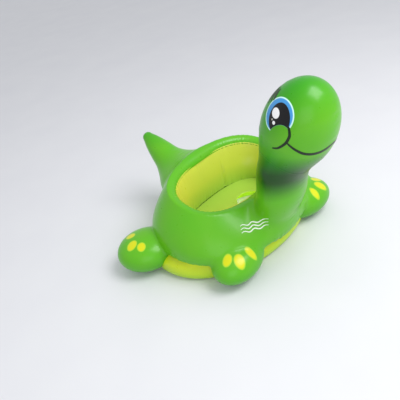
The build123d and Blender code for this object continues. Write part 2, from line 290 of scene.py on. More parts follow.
def split_quads(quads):
    """Two triangles from each quad."""
    return np.vstack([quads[:, (0, 1, 2)], quads[:, (0, 2, 3)]])


def sample(field, low, points):
    """Field values at points, by trilinear interpolation, with the right half mirrored to the left."""
    place = (np.column_stack([points[:, 0], abs(points[:, 1]), points[:, 2]]) - low) / VOXEL
    base = np.clip(np.floor(place).astype(int), 0, np.array(field.shape) - 2)
    share = place - base
    total = np.zeros(len(points))
    for corner in np.ndindex(2, 2, 2):
        weight = np.prod(np.where(corner, share, 1 - share), axis=1)
        total += weight * field[tuple((base + corner).T)]
    return total


# ---------------------------------------------------------------- triangle meshes in numpy
def point_normals(points, triangles):
    """Unit normal at each point."""
    a, b, c = (points[triangles[:, k]] for k in range(3))
    face = np.cross(b - a, c - a)
    total = np.zeros_like(points)
    for k in range(3):
        np.add.at(total, triangles[:, k], face)
    return total / np.maximum(np.linalg.norm(total, axis=1), 1e-12)[:, None]


def relaxed(points, triangles, rounds):
    """Points moved towards the middle of their neighbours, which takes out pinched faces."""
    start = triangles.reshape(-1)
    end = np.roll(triangles, -1, axis=1).reshape(-1)
    links = np.bincount(start, minlength=len(points))[:, None]
    for _ in range(rounds):
        total = np.column_stack([np.bincount(start, points[end, k], len(points)) for k in range(3)])
        points = 0.4 * points + 0.6 * total / np.maximum(links, 1)
    return points


def odd_first(triangles, odd):
    """Triangles turned so that each one's odd corner comes first."""
    turned = [np.roll(triangle, -place) for triangle, place in zip(triangles, odd.argmax(axis=1))]
    return np.array(turned, int).reshape(-1, 3)


def cut(data, triangles, values):
    """The part of a mesh where values are positive, with new points on the line where they are zero."""
    inside = values[triangles] > 0
    count = inside.sum(axis=1)
    one = odd_first(triangles[count == 1], inside[count == 1])
    two = odd_first(triangles[count == 2], ~inside[count == 2])
    pairs = np.vstack([one[:, (0, 1)], one[:, (0, 2)], two[:, (0, 1)], two[:, (0, 2)]])
    unique, place = np.unique(np.sort(pairs, axis=1), axis=0, return_inverse=True)
    a, b = unique[:, 0], unique[:, 1]
    share = (values[a] / (values[a] - values[b]))[:, None]
    data = np.vstack([data, data[a] * (1 - share) + data[b] * share])
    place = place.reshape(-1) + len(values)
    first, second, third, fourth = np.split(place, np.cumsum([len(one), len(one), len(two)]))
    triangles = np.vstack([
        triangles[count == 3],
        np.column_stack([one[:, 0], first, second]),
        np.column_stack([third, two[:, 1], two[:, 2]]),
        np.column_stack([third, two[:, 2], fourth]),
    ])
    used, place = np.unique(triangles, return_inverse=True)
    return data[used], place.reshape(-1, 3)


def boundary_loops(triangles):
    """Closed rings of point numbers along a mesh's open edges."""
    edges = np.vstack([triangles[:, (0, 1)], triangles[:, (1, 2)], triangles[:, (2, 0)]])
    edge_keys = np.sort(edges, axis=1)
    _, place, count = np.unique(edge_keys, axis=0, return_inverse=True, return_counts=True)
    following = {int(a): int(b) for a, b in edges[count[place.reshape(-1)] == 1]}
    loops = []
    while following:
        start, node = following.popitem()
        loop = [start]
        while node in following:
            loop.append(node)
            node = following.pop(node)
        loops.append(loop)
    return [loop for loop in loops if len(loop) > 8]


# ---------------------------------------------------------------- pieces
def make_mesh(name, points, faces, normals=None):
    """Blender mesh from points in millimetres."""
    mesh = bpy.data.meshes.new(name)
    mesh.from_pydata((np.asarray(points) * MM).tolist(), [], np.asarray(faces).tolist())
    mesh.shade_smooth()
    if normals is not None:
        mesh.normals_split_custom_set_from_vertices(normals.tolist())
    return mesh


def add_piece(name, mesh, material, body="float", replaced=()):
    """Puts a mesh in the scene as a piece that rides on a body."""
    piece = bpy.data.objects.new(name, mesh)
    bpy.context.scene.collection.objects.link(piece)
    mesh.materials.append(material)
    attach(piece, body)
    if replaced:
        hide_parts(*replaced)
    return piece


def grid_faces(rows, columns, wrap_rows=False, wrap_columns=False):
    """Quads of a grid of points stored row by row."""
    row = np.arange(rows if wrap_rows else rows - 1)[:, None]
    column = np.arange(columns if wrap_columns else columns - 1)[None, :]
    right, down = (column + 1) % columns, (row + 1) % rows
    upper, lower = row * columns, down * columns
    corners = [upper + column, upper + right, lower + right, lower + column]
    return np.stack(np.broadcast_arrays(*corners), axis=-1).reshape(-1, 4)


def resampled_loop(path, step):
    """A closed polyline with even steps, smoothed a little."""
    path = np.asarray(path, float)
    for _ in range(6):
        path = (np.roll(path, 1, axis=0) + 2 * path + np.roll(path, -1, axis=0)) / 4
    path = np.vstack([path, path[:1]])
    length = np.concatenate([[0], np.cumsum(np.linalg.norm(np.diff(path[:, :3], axis=0), axis=1))])
    count = max(int(length[-1] / step), 4)
    at = np.linspace(0, length[-1], count, endpoint=False)
    return np.column_stack([np.interp(at, length, path[:, k]) for k in range(path.shape[1])])


def strip(path, normals, half_width, height, closed=False):
    """Points and faces of a low rounded strip that lies on a surface along a path."""
    along = np.roll(path, -1, axis=0) - np.roll(path, 1, axis=0)
    if not closed:
        along[0], along[-1] = path[1] - path[0], path[-1] - path[-2]
    side = np.cross(normals, along)
    side /= np.linalg.norm(side, axis=1)[:, None]
    half_width = np.broadcast_to(half_width, len(path))[:, None]
    rows = []
    for across, up in ((-1, -0.3), (-0.75, 0.55), (0, 1), (0.75, 0.55), (1, -0.3)):
        rows.append(path + side * half_width * across + normals * height * up)
    points = np.stack(rows, axis=1).reshape(-1, 3)
    return points, grid_faces(len(path), 5, wrap_rows=closed)


# ---------------------------------------------------------------- materials
def colour(red, green, blue):
    """Linear colour from screen values."""
    def linear(value):
        return (value / 255) ** 2.2
    return (linear(red), linear(green), linear(blue), 1.0)


class Value:
    """A number in a material's node tree. Arithmetic on it adds math nodes."""

    def __init__(self, tree, socket):
        self.tree = tree
        self.socket = socket

    def math(self, operation, *others, clamp=False):
        """The result of one math node."""
        node = self.tree.nodes.new("ShaderNodeMath")
        node.operation = operation
        node.use_clamp = clamp
        for place, term in zip(node.inputs, (self, *others)):
            if isinstance(term, Value):
                self.tree.links.new(term.socket, place)
            else:
                place.default_value = term
        return Value(self.tree, node.outputs[0])

    def __add__(self, other):
        return self.math("ADD", other)

    def __sub__(self, other):
        return self.math("SUBTRACT", other)

    def __mul__(self, other):
        return self.math("MULTIPLY", other)

    def __abs__(self):
        return self.math("ABSOLUTE")

    def below(self, limit, softness):
        """1 where the number is below a limit, 0 above, with a straight change of the given width."""
        return self.math("MULTIPLY_ADD", -1 / softness, 0.5 + limit / softness, clamp=True)

    def above(self, limit, softness):
        """1 where the number is above a limit, 0 below, with a straight change of the given width."""
        return self.math("MULTIPLY_ADD", 1 / softness, 0.5 - limit / softness, clamp=True)


class Paint:
    """A vinyl material whose colour is laid on in coats, each with its own mask."""

    def __init__(self, name, base):
        self.material = bpy.data.materials.new(name)
        self.material.use_nodes = True
        self.tree = self.material.node_tree
        self.shader = self.tree.nodes["Principled BSDF"]
        self.base = base
        self.last = None
        self.mirror_place = None
        coordinates = self.tree.nodes.new("ShaderNodeTexCoord")
        scaled = self.tree.nodes.new("ShaderNodeVectorMath")
        scaled.operation = "SCALE"
        scaled.inputs["Scale"].default_value = 1 / MM
        self.tree.links.new(coordinates.outputs["Object"], scaled.inputs[0])
        self.place = scaled.outputs[0]

    def along(self, axis, origin=(0, 0, 0), both_sides=False):
        """Millimetres from an origin along an axis. both_sides folds the right half onto the left."""
        place = self.folded() if both_sides else self.place
        node = self.tree.nodes.new("ShaderNodeVectorMath")
        node.operation = "DOT_PRODUCT"
        node.inputs[1].default_value = axis
        self.tree.links.new(place, node.inputs[0])
        return Value(self.tree, node.outputs["Value"]) - float(np.dot(axis, origin))

    def folded(self):
        """The place, with the right half folded onto the left."""
        if self.mirror_place is None:
            split = self.tree.nodes.new("ShaderNodeSeparateXYZ")
            joined = self.tree.nodes.new("ShaderNodeCombineXYZ")
            self.tree.links.new(self.place, split.inputs[0])
            left = abs(Value(self.tree, split.outputs[1]))
            for socket, k in ((split.outputs[0], 0), (left.socket, 1), (split.outputs[2], 2)):
                self.tree.links.new(socket, joined.inputs[k])
            self.mirror_place = joined.outputs[0]
        return self.mirror_place

    def ellipse(self, axes, origin, radii, centre=(0, 0), tilt=0.0):
        """Signed distance, roughly, to an ellipse seen along the third direction, on both sides."""
        a, b = (np.asarray(axis, float) for axis in axes)
        across = math.cos(tilt) * a + math.sin(tilt) * b
        up = math.cos(tilt) * b - math.sin(tilt) * a
        middle = np.asarray(origin) + centre[0] * a + centre[1] * b
        u = self.along(across, middle, both_sides=True) * (1 / radii[0])
        v = self.along(up, middle, both_sides=True) * (1 / radii[1])
        return ((u * u + v * v).math("SQRT") - 1) * min(radii)

    def ellipsoid(self, centre, radii, axes):
        """1 on an ellipsoid and on its mirror image, less inside."""
        u, v, w = (self.along(axis, centre, True) * (1 / radius) for axis, radius in zip(axes, radii))
        return (u * u + v * v + w * w).math("SQRT")

    def noise(self, size, detail=2.0):
        """Smooth noise from 0 to 1 with features of the given size in millimetres."""
        node = self.tree.nodes.new("ShaderNodeTexNoise")
        node.inputs["Scale"].default_value = 1 / size
        node.inputs["Detail"].default_value = detail
        self.tree.links.new(self.place, node.inputs["Vector"])
        return Value(self.tree, node.outputs["Fac"])

    def coat(self, tint, mask):
        """Lays a colour over what is there, where the mask is 1."""
        node = self.tree.nodes.new("ShaderNodeMix")
        node.data_type = "RGBA"
        node.inputs[7].default_value = tint
        self.tree.links.new(mask.socket, node.inputs[0])
        if self.last is None:
            node.inputs[6].default_value = self.base
        else:
            self.tree.links.new(self.last, node.inputs[6])
        self.last = node.outputs[2]

    def finish(self, roughness=0.3, bump=0.25, grain=1.6, slack=26):
        """Adds the film's gloss, its fine grain and its slack waves, and returns the material."""
        if self.last is None:
            self.shader.inputs["Base Color"].default_value = self.base
        else:
            self.tree.links.new(self.last, self.shader.inputs["Base Color"])
        rough = self.noise(9) * 0.12 + (roughness - 0.06)
        self.tree.links.new(rough.socket, self.shader.inputs["Roughness"])
        height = self.noise(slack, 3) * 0.8 + self.noise(grain) * 0.035
        node = self.tree.nodes.new("ShaderNodeBump")
        node.inputs["Strength"].default_value = bump
        node.inputs["Distance"].default_value = 0.001
        self.tree.links.new(height.socket, node.inputs["Height"])
        self.tree.links.new(node.outputs["Normal"], self.shader.inputs["Normal"])
        self.shader.inputs["IOR"].default_value = 1.5
        self.shader.inputs["Specular IOR Level"].default_value = 0.35
        self.shader.inputs["Coat Weight"].default_value = 0.08
        self.shader.inputs["Coat Roughness"].default_value = 0.12
        return self.material


# ---- where the print sits on the head: a tangent plane at the right eye, mirrored for the left
EYE_NORMAL = np.array((-0.238, 0.897, 0.372))
EYE_LOCAL = np.array((-17.9, 67.2, 53.4))
EYE_RIGHT = np.array((0.971, 0.220, 0.091))
EYE_UP = np.array((0.0, -0.383, 0.924))


def from_head(vector):
    """A direction in the head's own axes turned to the frame's axes."""
    return np.asarray(vector, float) @ HEAD_AXES


def head_surface(azimuth, height, side=1):
    """Point and normal on the head from an angle about its axis and a share of its half height."""
    azimuth, height = np.broadcast_arrays(np.asarray(azimuth, float), np.asarray(height, float))
    ring = np.sqrt(1 - height**2)
    unit = np.stack([ring * np.cos(azimuth), side * ring * np.sin(azimuth), height], axis=-1)
    normal = from_head(unit / HEAD_RADII)
    normal /= np.linalg.norm(normal, axis=-1)[..., None]
    return HEAD_CENTRE + from_head(unit * HEAD_RADII), normal


def head_print(u, v, side=1):
    """Point and normal on the head under a place on the eye's tangent plane."""
    u, v = np.asarray(u, float)[:, None], np.asarray(v, float)[:, None]
    start = EYE_LOCAL + u * EYE_RIGHT + v * EYE_UP
    ray, here = EYE_NORMAL / HEAD_RADII, start / HEAD_RADII
    a, b = (ray @ ray), (here @ ray)[:, None]
    c = (here * here).sum(axis=1, keepdims=True) - 1
    local = start + EYE_NORMAL * (-b + np.sqrt(np.maximum(b * b - a * c, 0))) / a
    local[:, 1] *= side
    normal = from_head(local / HEAD_RADII**2)
    return HEAD_CENTRE + from_head(local), normal / np.linalg.norm(normal, axis=1)[:, None]


GREEN = colour(98, 178, 29)
DEEP_GREEN = colour(30, 142, 14)
DARK_GREEN = colour(14, 44, 6)
LIME = colour(212, 222, 34)
LOW_LIME = colour(160, 210, 44)
SEAT_LIME = colour(226, 216, 78)
LOW_SEAT_LIME = colour(150, 206, 84)
YELLOW = colour(214, 214, 20)


def green_vinyl():
    """Green film with everything that is printed on it, and with painted shade: deeper green low down, on
    the crown, back and underside of the head, and under the chin.
    """
    paint = Paint("green_vinyl_film", GREEN)
    up = paint.along((0, 0, 1))
    paint.coat(colour(80, 178, 24), paint.noise(60, 2).above(0.55, 0.5) * 0.5)
    # painted shade: deeper green low down on the skin
    paint.coat(DEEP_GREEN, up.below(30, 90) * 0.65)
    shade_head(paint)
    shade_neck(paint)
    print_eye(paint)
    print_toes(paint)
    return paint.finish()


def head_share(paint, which):
    """One of the head's own coordinates, as a share of its radius."""
    return paint.along(HEAD_AXES[which], HEAD_CENTRE, both_sides=True) * (1 / HEAD_RADII[which])


def shade_head(paint):
    """Painted shade: darker green on the crown, on the back of the head and under the head."""
    ahead = head_share(paint, 0)
    upward = head_share(paint, 2)
    on_head = paint.along((0, 0, 1)).above(262, 30)
    paint.coat(DEEP_GREEN, (ahead * -0.6 + upward * 0.8).above(0.55, 0.9) * on_head * 0.8)
    # painted shade under the head, where it overhangs the neck
    paint.coat(DEEP_GREEN, upward.below(-0.34, 0.5) * paint.along((0, 0, 1)).above(225, 50) * 0.95)
    paint.coat(DEEP_GREEN, ahead.below(-0.3, 0.9) * on_head * 0.6)


def shade_neck(paint):
    """Airbrushed shadow under the chin."""
    height = paint.along((0, 0, 1))
    ahead = paint.along((1, 0, 0))
    band = height.above(212, 55) * height.below(290, 55)
    paint.coat(DARK_GREEN, band * ahead.above(160, 45) * 0.85)


def print_eye(paint):
    """Both eyes: pale rim, blue ring, black pupil and white glints, with the cheek over their foot."""
    axes = (from_head(EYE_RIGHT), from_head(EYE_UP))
    origin = HEAD_CENTRE + from_head(EYE_LOCAL)
    side = paint.along(from_head(EYE_NORMAL), origin, both_sides=True).above(-32, 1)
    cheek = paint.ellipse(axes, origin, (30, 19), centre=(12.6, -40.4), tilt=math.radians(63))
    open_eye = cheek.above(0, 0.5) * side
    coats = (
        (colour(205, 248, 240), (35.5, 35.5), (-5, -4), 0),
        (colour(70, 150, 215), (33.0, 33.0), (-5, -4), 0),
        (colour(14, 14, 18), (25.5, 32.0), (0.5, -9), 20),
        (colour(250, 250, 250), (9.5, 11), (-11.6, -2.7), 60),
        (colour(250, 250, 250), (3.7, 3.7), (-5.6, -20.6), 0),
        (colour(190, 190, 180), (2.0, 2.0), (-12.8, -17.4), 0),
    )
    for tint, radii, centre, tilt in coats:
        shape = paint.ellipse(axes, origin, radii, centre=centre, tilt=math.radians(tilt))
        paint.coat(tint, shape.below(0, 0.6) * open_eye)


TOES = {
    "front": ((49.2, -3.4, 11.5, 15), (38.9, -28.9, 13, 16), (5.7, -41.4, 10, 14)),
    "rear": ((31.3, 16.1, 11.5, 14), (31.8, -22.0, 13, 15), (9.6, -37.3, 11.5, 12)),
}


def print_toes(paint):
    """Three yellow toes on the upper side of each foot."""
    for end, foot in FEET.items():
        along, across, _ = about_z(foot["yaw"])
        on_top = paint.along((0, 0, 1)).above(foot["centre"][2] + 1, 1)
        on_foot = paint.ellipsoid(foot["centre"], foot["radii"], about_z(foot["yaw"])).below(1.14, 0.05)
        for u, v, half_u, half_v in TOES[end]:
            turn = math.atan2(v, u)
            args = ((along, across), foot["centre"])
            rim = paint.ellipse(*args, (half_v, half_u), centre=(u, v), tilt=turn)
            paint.coat(colour(150, 204, 52), rim.below(0, 1.2) * on_top * on_foot)
            middle = paint.ellipse(*args, (half_v - 1.8, half_u - 1.8), centre=(u, v), tilt=turn)
            paint.coat(YELLOW, middle.below(0, 3) * on_top * on_foot)


def lime_vinyl():
    """Lime film of the lower chamber, with painted light: yellower high up where light catches the band,
    greener and darker low down in shade.
    """
    paint = Paint("lime_vinyl_film", LIME)
    up = paint.along((0, 0, 1))
    # painted shade: greener and darker low on the band
    paint.coat(LOW_LIME, up.below(30, 60))
    return paint.finish()


def seat_vinyl():
    """Lime film of the seat, with painted shade: greener and darker low down in the well, towards the rear
    and towards the rear left.
    """
    paint = Paint("seat_vinyl_film", SEAT_LIME)
    up = paint.along((0, 0, 1))
    ahead = paint.along((1, 0, 0))
    # painted shade low in the seat well and towards its rear
    paint.coat(LOW_SEAT_LIME, up.below(82, 80) * ahead.below(30, 70) * 0.8)
    # painted shade towards the rear left of the seat
    paint.coat(LOW_SEAT_LIME, paint.along((0.6, -0.8, 0)).below(40, 160) * 0.35)
    return paint.finish()


def ink():
    """Dark printing ink of the drawn lines."""
    paint = Paint("ink_dark_green", colour(30, 52, 14))
    paint.coat(colour(14, 30, 8), paint.noise(12).above(0.5, 0.6))
    return paint.finish(roughness=0.35)


# ---------------------------------------------------------------- the green skin
LOBE_NODES = {
    "ring": ("upper_chamber", "chamber_web"),
    "neck_left": ("neck_left_half", "neck_web"),
    "neck_right": ("neck_right_half",),
    "head_left": ("head_left_half",),
    "head_right": ("head_right_half",),
    "tail_left": ("tail_left_half",),
    "tail_right": ("tail_right_half",),
}


VALVE_HOLES = {"main": 17.0, "lower": 11.5, "head": 11.5}   # radii, under the flanges' rims
VALVE_HOLE_DEPTH = 12
FAR_FROM_VALVE = 100.0


def valve_axes():
    """Middle and outward direction of each valve, from its flange in the frame."""
    axes = {}
    for valve in ("main", "lower", "head"):
        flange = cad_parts[f"{valve}_valve_flange"]
        points = np.array([v.co for v in flange.data.vertices]) / MM
        middle = (points.max(axis=0) + points.min(axis=0)) / 2
        centred = points - points.mean(axis=0)
        direction = np.linalg.eigh(centred.T @ centred)[1][:, 0]
        plug = np.array([v.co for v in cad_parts[f"{valve}_valve_plug"].data.vertices]) / MM
        if (plug.mean(axis=0) - middle) @ direction < 0:
            direction = -direction
        axes[valve] = (middle, direction)
    return axes


def clear_of_valve(points, valve):
    """Positive outside the hole that a valve's flange covers."""
    middle, direction = valve_axes()[valve]
    offset = points - middle
    depth = offset @ direction
    across = np.linalg.norm(offset - depth[:, None] * direction, axis=1)
    hole = VALVE_HOLES[valve]
    return np.where(abs(depth) < VALVE_HOLE_DEPTH, across - hole, FAR_FROM_VALVE)


def pucker(points, low, fields):
    """How far the skin stands out at each point, from the small creases along its welds."""
    x, y, z = points.T
    angle = np.arctan2(y, x - HUB_X)
    run = angle * RUN_RADIUS
    ring = sample(fields["ring"], low, points)
    on_ring = smooth_step(ring, 9, 2)
    crease = np.exp(-np.maximum(z - CREASE_Z, 0) / 14) * wave(run, 17, 1)
    opening = reach(angle, OPENING)
    below_edge = smooth_step(edge_height(angle, opening) - z, 24, 4)
    rim = np.exp(-abs(np.hypot(x - HUB_X, y) - opening) / 9) * below_edge
    total = on_ring * (0.75 * crease + 0.5 * rim * wave(run, 11, 2))
    middle = np.exp(-abs(y) / 8) * smooth_step(ring, 4, 14)
    total += 0.35 * middle * wave(z + 0.6 * x, 13, 3)
    return total


def lobe_shares(data, columns):
    """Positive where each lobe is the nearest of all."""
    shares = {}
    for name, column in columns.items():
        others = [data[:, c] for n, c in columns.items() if n != name]
        shares[name] = np.min(others, axis=0) - data[:, column]
    return shares


def turned_outward(points, triangles):
    """Triangles and point normals that face outward, judged on the top of the head."""
    normals = point_normals(points, triangles)
    outward = ((points - HEAD_CENTRE) * normals).sum(axis=1)[points[:, 2] > HEAD_TOP_Z].mean()
    if outward < 0:
        return triangles[:, ::-1], -normals
    return triangles, normals


def green_mesh(fields, blend, low):
    """Points, normals and lobe distances of the green skin, side by side, and its triangles."""
    points, triangles = surface_of(blend, low)
    points = relaxed(points, triangles, 3)
    triangles, normals = turned_outward(points, triangles)
    points = points + normals * pucker(points, low, fields)[:, None]
    points[:, 2] = np.maximum(points[:, 2], 0.0)
    normals = point_normals(points, triangles)
    distances = np.column_stack([sample(fields[name], low, points) for name in fields])
    return np.column_stack([points, normals, distances]), triangles


def clear_of_opening(points):
    """Positive outside the seat opening or above its seam."""
    angle = np.arctan2(points[:, 1], points[:, 0] - HUB_X)
    opening = reach(angle, OPENING)
    radius = np.hypot(points[:, 0] - HUB_X, points[:, 1])
    above_edge = points[:, 2] - edge_height(angle, opening) + 3
    return np.maximum(radius - opening - 5, above_edge)


def green_skin(material):
    """Every green piece, and the weld along each cut between them. Returns the skin's level set."""
    fields, blend, low = green_level_set()
    data, triangles = green_mesh(fields, blend, low)
    columns = {name: 6 + k for k, name in enumerate(fields)}
    data, triangles = cut(data, triangles, clear_of_opening(data[:, :3]))
    for valve in ("main", "head"):
        data, triangles = cut(data, triangles, clear_of_valve(data[:, :3], valve))
    for name, share in lobe_shares(data, columns).items():
        part, part_triangles = cut(data, triangles, share)
        add_lobe(name, part, part_triangles, material)
    return blend, low


def add_lobe(name, data, triangles, material):
    """One lobe's pieces: its halves, and the weld at its root."""
    if name == "ring":
        mesh = make_mesh("ring", data[:, :3], triangles, data[:, 3:6])
        add_piece("ring", mesh, material, replaced=LOBE_NODES["ring"])
        return
    if name in FEET:
        for side, label in ((1, "left"), (-1, "right")):
            half, half_triangles = cut(data, triangles, side * data[:, 1])
            add_weld(f"{name}_{label}_foot_root_weld", half, half_triangles, material)
            add_foot(name, label, half, half_triangles, material)
        return
    add_weld(f"{name}_root_weld", data, triangles, material)
    for side, label in ((1, "left"), (-1, "right")):
        half, half_triangles = cut(data, triangles, side * data[:, 1])
        piece = f"{name}_{label}"
        mesh = make_mesh(piece, half[:, :3], half_triangles, half[:, 3:6])
        add_piece(piece, mesh, material, replaced=LOBE_NODES[piece])


def add_foot(end, label, data, triangles, material):
    """Upper and lower half of one foot."""
    seam = FEET[end]["centre"][2]
    for side, level in ((1, "upper"), (-1, "lower")):
        half, half_triangles = cut(data, triangles, side * (data[:, 2] - seam))
        piece = f"{end}_{label}_foot_{level}"
        mesh = make_mesh(piece + "_skin", half[:, :3], half_triangles, half[:, 3:6])
        add_piece(piece + "_skin", mesh, material, replaced=(piece,))


def add_weld(name, data, triangles, material):
    """Low strip along the longest open edge of a part."""
    loops = boundary_loops(triangles)
    loop = max(loops, key=len)
    path = resampled_loop(data[loop][:, :6], 3.0)
    normals = path[:, 3:6] / np.linalg.norm(path[:, 3:6], axis=1)[:, None]
    points, faces = strip(path[:, :3], normals, 1.6, 0.35, closed=True)
    add_piece(name, make_mesh(name, points, faces), material)


# ---------------------------------------------------------------- drawn lines
# angle about the head's axis in degrees, and share of the head's half height
SMILE = (
    (0, 0.085), (8, 0.062), (15, 0.034), (23, 0.008), (31, -0.009), (39, -0.017),
    (49, -0.007), (56, 0.02), (63, 0.05), (70, 0.087), (76, 0.123),
)
# places on the eye's tangent plane
CHEEK_LINE = (
    (22, -9.5), (27, -11), (31, -16), (34.5, -24), (34.7, -31),
    (33, -41), (28, -51.5), (19.5, -63), (8.5, -70),
)
BROWS = (
    ((146, 0.36), (155, 0.43), (163, 0.52), (170, 0.62)),
    ((141, 0.44), (149, 0.50), (156, 0.58), (161, 0.66)),
    ((137, 0.52), (143, 0.57), (149, 0.62), (153, 0.68)),
)


# the wave mark on the ring's right side
MARK_ANGLES = (-40, -20)
MARK_LEVELS = (133, 124, 115)
MARK_RIPPLE = 2.6
MARK_DROP = 12   # each stroke falls this much from its rear end to its front end


def tapered(count, middle, ends):
    """Half widths of a drawn line, narrow at its ends."""
    share = np.sin(np.linspace(0, np.pi, count)) ** 0.6
    return ends + (middle - ends) * share


def on_skin(points, normals, skin):
    """Points moved along their normals onto the blended green skin."""
    blend, low = skin
    for _ in range(8):
        points = points - normals * sample(blend, low, points)[:, None]
    return points


def face_lines(material, skin):
    """The smile, the cheeks and the brows, as thin printed strips."""
    knots = np.array(SMILE)
    both = smooth_curve(np.vstack([knots[::-1] * (-1, 1), knots[1:]]), 120)
    path, normals = head_surface(np.radians(both[:, 0]), both[:, 1])
    add_line("smile_line", path, normals, tapered(len(path), 3.9, 1.6), material, skin)
    for side, label in ((1, "left"), (-1, "right")):
        plane = smooth_curve(CHEEK_LINE, 60)
        path, normals = head_print(plane[:, 0], plane[:, 1], side)
        add_line(f"cheek_line_{label}", path, normals, tapered(60, 2.9, 1.5), material, skin)
        for number, brow in enumerate(BROWS, 1):
            marks = smooth_curve(brow, 24)
            path, normals = head_surface(np.radians(marks[:, 0]), marks[:, 1], side)
            widths = tapered(24, 4.2, 0.4)
            add_line(f"brow_mark_{label}_{number}", path, normals, widths, material, skin)


def flank_marks(skin):
    """A small pale wave mark printed on the right side of the ring: three plain wavy strokes."""
    paint = Paint("ink_white", colour(238, 246, 232))
    paint.coat(colour(226, 238, 214), paint.noise(10).above(0.55, 0.5))
    material = paint.finish(roughness=0.35)
    count = 70
    angle = np.radians(np.linspace(*MARK_ANGLES, count))
    ripple = np.sin(np.linspace(0, 5 * np.pi, count))
    outward = ring_points(angle, np.ones(count), np.full(count, 0.55)) - (HUB_X, 0, 0)
    outward /= np.linalg.norm(outward, axis=1)[:, None]
    for number, level in enumerate(MARK_LEVELS, 1):
        height = level + MARK_RIPPLE * ripple - MARK_DROP * np.linspace(-0.5, 0.5, count)
        path = ring_points(angle, reach(angle, SHOULDER) - 12, height)
        add_line(f"wave_mark_{number}", path, outward, tapered(count, 1.5, 0.5), material, skin)


def add_line(name, path, normals, widths, material, skin):
    """One printed line, a hair above the skin."""
    path = on_skin(path, normals, skin)
    points, faces = strip(path + normals * 0.25, normals, widths, 0.12)
    add_piece(name, make_mesh(name, points, faces), material)


# ---------------------------------------------------------------- lower chamber and seat
def lower_chamber(material):
    """Lime band, the underside and the inner wall below the seat floor."""
    angle = np.linspace(0, 2 * np.pi, 360, endpoint=False)
    shoulder, band, opening = (reach(angle, outline) for outline in (SHOULDER, BAND, OPENING))
    crease = np.minimum(shoulder, band) - CREASE_DEPTH
    knots = (
        (band - BAND_TUCK - 4, 0.8), (band - BAND_TUCK + 4, 1.4), (band - 5, 7), (band, 24), (band - 4, 42),
        (crease, CREASE_Z), (crease - 8, CREASE_Z + 3),
    )
    section = np.stack([np.stack(np.broadcast_arrays(r, float(z)), axis=-1) for r, z in knots])
    lines = smooth_curve(section.reshape(len(knots), -1), 40).reshape(40, -1, 2)
    lines[..., 0] += 0.7 * np.exp(-(CREASE_Z - lines[..., 1]) / 9) * wave(angle * RUN_RADIUS, 15, 5)
    points = ring_points(angle[None, :], lines[..., 0], lines[..., 1]).reshape(-1, 3)
    triangles = split_quads(grid_faces(40, len(angle), wrap_columns=True))
    points, triangles = cut(points, triangles, clear_of_valve(points, "lower"))
    mesh = make_mesh("band", points, triangles)
    add_piece("band", mesh, material, replaced=("lower_chamber",))
    underside = ((opening + 1, 0.6), (band - BAND_TUCK, 0.6))
    wrapped_sheet("underside", underside, angle, material, "bottom_panel")
    well_wall = ((opening, 1.0), (opening + 0.8, CREASE_Z))
    wrapped_sheet("well_wall", well_wall, angle, material, "lower_wall")


def wrapped_sheet(name, knots, angle, material, node):
    """Sheet between two level curves round the ring."""
    (inner, low), (outer, high) = knots
    share = np.linspace(0, 1, 16)[:, None]
    points = ring_points(angle[None, :], inner + (outer - inner) * share, low + (high - low) * share)
    faces = grid_faces(16, len(angle), wrap_columns=True)
    mesh = make_mesh(name, points.reshape(-1, 3), faces)
    add_piece(name, mesh, material, replaced=(node,))


def seat(material):
    """Seat wall that swells towards the child, the floor sling and the hems of its leg holes."""
    angle = np.linspace(0, 2 * np.pi, 360, endpoint=False)
    opening = reach(angle, OPENING)
    edge_z = edge_height(angle, opening)
    share = np.linspace(0, 1, 30)[:, None]
    run = angle * SEAT_RUN_RADIUS
    fold = np.exp(-(((angle - FOLD_ANGLE) / FOLD_WIDTH) ** 2))
    low_creases = 0.8 * np.exp(-(1 - share) * 9) * wave(run, 14, 8)
    high_creases = 0.5 * np.exp(-share * 9) * wave(run, 10, 9)
    swell = SEAT_SWELL * np.sin(np.pi * share**0.8) * np.ones_like(angle)
    swell -= FOLD_DEPTH * fold * smooth_step(share, 0.1, 0.5)
    swell += low_creases + high_creases
    z = edge_z + (SEAT_Z + 1 - edge_z) * share
    points = ring_points(angle[None, :], opening + 0.8 - swell, z)
    faces = grid_faces(30, len(angle), wrap_columns=True)
    mesh = make_mesh("seat_side", points.reshape(-1, 3), faces)
    add_piece("seat_side", mesh, material, replaced=("seat_wall",))
    rim = ring_points(angle, opening + 0.5, edge_z + 0.8)
    inward = ring_points(angle, -np.ones_like(angle), np.full_like(angle, 1.0)) - (HUB_X, 0, 0)
    inward /= np.linalg.norm(inward, axis=1)[:, None]
    lime_cord("opening_weld", rim, inward, (1.8, 1.1), material)
    seat_floor(material)


def lime_cord(name, path, normals, size, material):
    """Closed rounded strip of a half width and a height along a path."""
    points, faces = strip(path, normals, *size, closed=True)
    add_piece(name, make_mesh(name, points, faces), material)


def sling_height(x, y):
    """Height of the seat sling, whose middle stands a little higher."""
    return SEAT_Z + 1 + 2.5 * np.cos(x / 40) * np.cos(y / 70)


